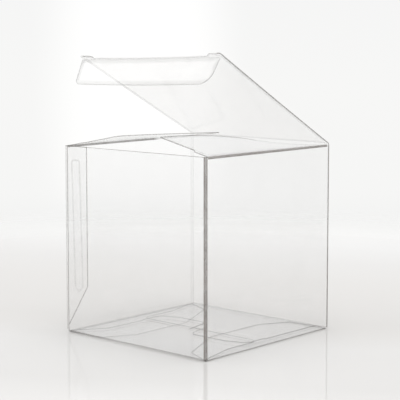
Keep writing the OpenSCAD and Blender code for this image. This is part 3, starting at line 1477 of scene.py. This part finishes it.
@dataclass
class Studio:
    """Camera, floor, soft lamps and the white surround."""

    lens: float = 119.31
    azimuth: float = 42.023
    elevation: float = 5.749
    distance: float = 0.71836
    target: tuple[float, float, float] = (0.001271, 0.0, 0.091106)
    shift: float = -0.0875
    floor_drop: float = 0.00006
    floor_reach: float = 0.62
    glow: tuple[float, float, float] = (-0.702, 0.711, -0.04)
    aside: tuple[float, float, float] = (0.711, 0.702, 0.0)
    backdrop: tuple[tuple[float, str], ...] = (
        (0.0, "E9E8E6"),
        (0.22, "E8E7E4"),
        (0.36, "EFF0EF"),
        (0.5, "F6F6F5"),
        (0.72, "F7F7F6"),
        (1.0, "F5F5F5"),
    )

    def camera(self) -> None:
        """The camera at the photograph's place."""
        data = bpy.data.cameras.new("studio_camera")
        data.sensor_width = 36
        data.lens = self.lens
        data.shift_y = self.shift
        data.clip_start, data.clip_end = 0.01, 20
        camera = bpy.data.objects.new("studio_camera", data)
        bpy.context.scene.collection.objects.link(camera)
        a, e = math.radians(self.azimuth), math.radians(self.elevation)
        back = Vector((math.sin(a) * math.cos(e), -math.cos(a) * math.cos(e), math.sin(e)))
        camera.location = Vector(self.target) + back * self.distance
        camera.rotation_mode = "QUATERNION"
        camera.rotation_quaternion = (-back).to_track_quat("-Z", "Y")
        bpy.context.scene.camera = camera

    def floor(self) -> None:
        """A round table board that fades out before its rim."""
        work = bmesh.new()
        bmesh.ops.create_circle(
            work,
            cap_ends=True,
            cap_tris=True,
            segments=96,
            radius=self.floor_reach,
            matrix=Matrix.Translation((0, 0, -self.floor_drop)),
        )
        mesh = bpy.data.meshes.new("studio_floor")
        work.to_mesh(mesh)
        work.free()
        mesh.materials.append(TABLE.make())
        board = bpy.data.objects.new("studio_floor", mesh)
        bpy.context.scene.collection.objects.link(board)

    def lamp(
        self,
        name: str,
        place: tuple[float, float, float],
        size: float,
        watts: float,
        mirrored: bool,
    ) -> None:
        """A soft square lamp that looks at the box.

        Args:
            name: Its name.
            place: Where it stands, in metres.
            size: Its side.
            watts: Its power.
            mirrored: True where gloss may show it. The camera never sees a lamp itself.
        """
        data = bpy.data.lights.new(name, "AREA")
        data.shape = "SQUARE"
        data.size = size
        data.energy = watts
        lamp = bpy.data.objects.new(name, data)
        lamp.location = place
        lamp.visible_camera = False
        lamp.visible_glossy = mirrored
        lamp.rotation_mode = "QUATERNION"
        lamp.rotation_quaternion = (
            (Vector((0, 0, 0.05)) - Vector(place)).to_track_quat("-Z", "Y")
        )
        bpy.context.scene.collection.objects.link(lamp)

    def surround(self) -> None:
        """White to the eye and in the sheet's own reflections, plain grey light for the rest."""
        world = bpy.data.worlds.new("studio_surround")
        world.use_nodes = True
        tree = world.node_tree
        tree.nodes.clear()
        out = add(tree, "ShaderNodeOutputWorld")
        way = add(tree, "ShaderNodeTexCoord").outputs["Generated"]
        parts = add(tree, "ShaderNodeSeparateXYZ", None, {0: way}).outputs
        # White behind the box, a shade greyer where the backdrop meets the table
        rise = add(
            tree,
            "ShaderNodeMapRange",
            {"From Min": -0.30, "From Max": 0.06},
            {"Value": parts["Z"]},
        ).outputs["Result"]
        ramp = add(tree, "ShaderNodeValToRGB", None, {0: rise})
        fill_ramp(ramp, [(at, linear(code)) for at, code in self.backdrop])
        # A soft glow on the backdrop behind the box, a little to the left
        glow = add(
            tree, "ShaderNodeVectorMath", {1: self.glow}, {0: way}, operation="DOT_PRODUCT"
        ).outputs["Value"]
        lift = add(
            tree,
            "ShaderNodeMapRange",
            {"From Min": 0.988, "From Max": 0.9985, "To Min": 0.0, "To Max": 0.085},
            {"Value": glow},
            interpolation_type="SMOOTHSTEP",
        ).outputs["Result"]
        upper = add(
            tree,
            "ShaderNodeMapRange",
            {"From Min": -0.17, "From Max": -0.08},
            {"Value": parts["Z"]},
            interpolation_type="SMOOTHSTEP",
        ).outputs["Result"]
        aside = add(
            tree, "ShaderNodeVectorMath", {1: self.aside}, {0: way}, operation="DOT_PRODUCT"
        ).outputs["Value"]
        off = add(tree, "ShaderNodeMath", None, {0: aside}, operation="ABSOLUTE").outputs[0]
        narrow = add(
            tree,
            "ShaderNodeMapRange",
            {"From Min": 0.035, "From Max": 0.085, "To Min": 1.0, "To Max": 0.0},
            {"Value": off},
            interpolation_type="SMOOTHSTEP",
        ).outputs["Result"]
        for part in (upper, narrow):
            lift = add(
                tree, "ShaderNodeMath", None, {0: lift, 1: part}, operation="MULTIPLY"
            ).outputs[0]
        shade = ramp.outputs["Color"]
        backdrop = add(
            tree, "ShaderNodeVectorMath", None, {0: shade, 1: lift}, operation="ADD"
        ).outputs[0]
        # What the sheet mirrors: white low down, a dimmer room above and behind the camera
        high = add(
            tree,
            "ShaderNodeMapRange",
            {"From Min": 0.15, "From Max": 0.7, "To Min": 1.0, "To Max": 0.75},
            {"Value": parts["Z"]},
            interpolation_type="SMOOTHSTEP",
        ).outputs["Result"]
        room = add(
            tree,
            "ShaderNodeMapRange",
            {"From Min": -0.9, "From Max": 0.5, "To Min": 0.98, "To Max": 1.0},
            {"Value": parts["Y"]},
            interpolation_type="SMOOTHSTEP",
        ).outputs["Result"]
        dim = add(
            tree, "ShaderNodeMath", None, {0: high, 1: room}, operation="MULTIPLY"
        ).outputs[0]
        mirrored = add(
            tree, "ShaderNodeVectorMath", None, {0: backdrop, 1: dim}, operation="MULTIPLY"
        ).outputs[0]
        rays = add(tree, "ShaderNodeLightPath").outputs
        white = add(tree, "ShaderNodeBackground", {"Strength": 1.0}, {"Color": backdrop})
        seen = add(tree, "ShaderNodeBackground", {"Strength": 1.0}, {"Color": mirrored})
        plain = add(tree, "ShaderNodeBackground", {"Color": linear("FFFEFC"), "Strength": 0.62})
        shine = add(
            tree,
            "ShaderNodeMath",
            None,
            {0: rays["Is Glossy Ray"], 1: rays["Is Transmission Ray"]},
            operation="MAXIMUM",
        ).outputs[0]
        first = add(
            tree, "ShaderNodeMixShader", None, {0: shine, 1: plain.outputs[0], 2: seen.outputs[0]}
        )
        last = add(
            tree,
            "ShaderNodeMixShader",
            None,
            {0: rays["Is Camera Ray"], 1: first.outputs[0], 2: white.outputs[0]},
        )
        tree.links.new(last.outputs[0], out.inputs["Surface"])
        bpy.context.scene.world = world

    def build(self) -> None:
        """Builds the whole studio."""
        scene = bpy.context.scene
        scene.view_settings.view_transform = "Standard"
        scene.cycles.transparent_max_bounces = 48
        scene.cycles.max_bounces = 16
        scene.cycles.caustics_reflective = False
        self.camera()
        self.floor()
        self.surround()
        self.lamp("lamp_overhead", (0.1, 0.1, 1.3), 1.0, 9.0, False)
        self.lamp("lamp_left", (-0.95, -0.8, 0.85), 1.0, 3.4, True)


def write_sizes() -> None:
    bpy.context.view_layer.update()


def main() -> None:
    """Builds the studio, then each part of the box, and reports every piece."""
    for o in [o for o in bpy.context.scene.objects if o.type in ("CAMERA", "LIGHT")]:
        bpy.data.objects.remove(o)
    Studio().build()
    edges = EdgeTree()
    made = BoxBody(SIZES, edges).build()
    made += Lid(SIZES, edges).build()
    right, left = DustBow(SIZES, 9.7, 0.0, 2.2), DustBow(SIZES, 3.3, 1.0, 1.3)
    # The flaps' folds and back edges get different painted shade: the left fold's fades at its
    # back end, the right flap's back edge is hardly shaded
    made += DustFlap(SIZES, edges, 1, right, 1.0, FLAP_CREASE, Tone.TRACE).build()
    made += DustFlap(
        SIZES, edges, -1, left, SIZES.dust_corner_r, FADING_FLAP_CREASE_SHADE, Tone.PLAIN
    ).build()
    for piece in made:
        LOG.info("%s: %d faces", piece.name, len(piece.data.polygons))
    write_sizes()


if __name__ == "__main__":
    main()
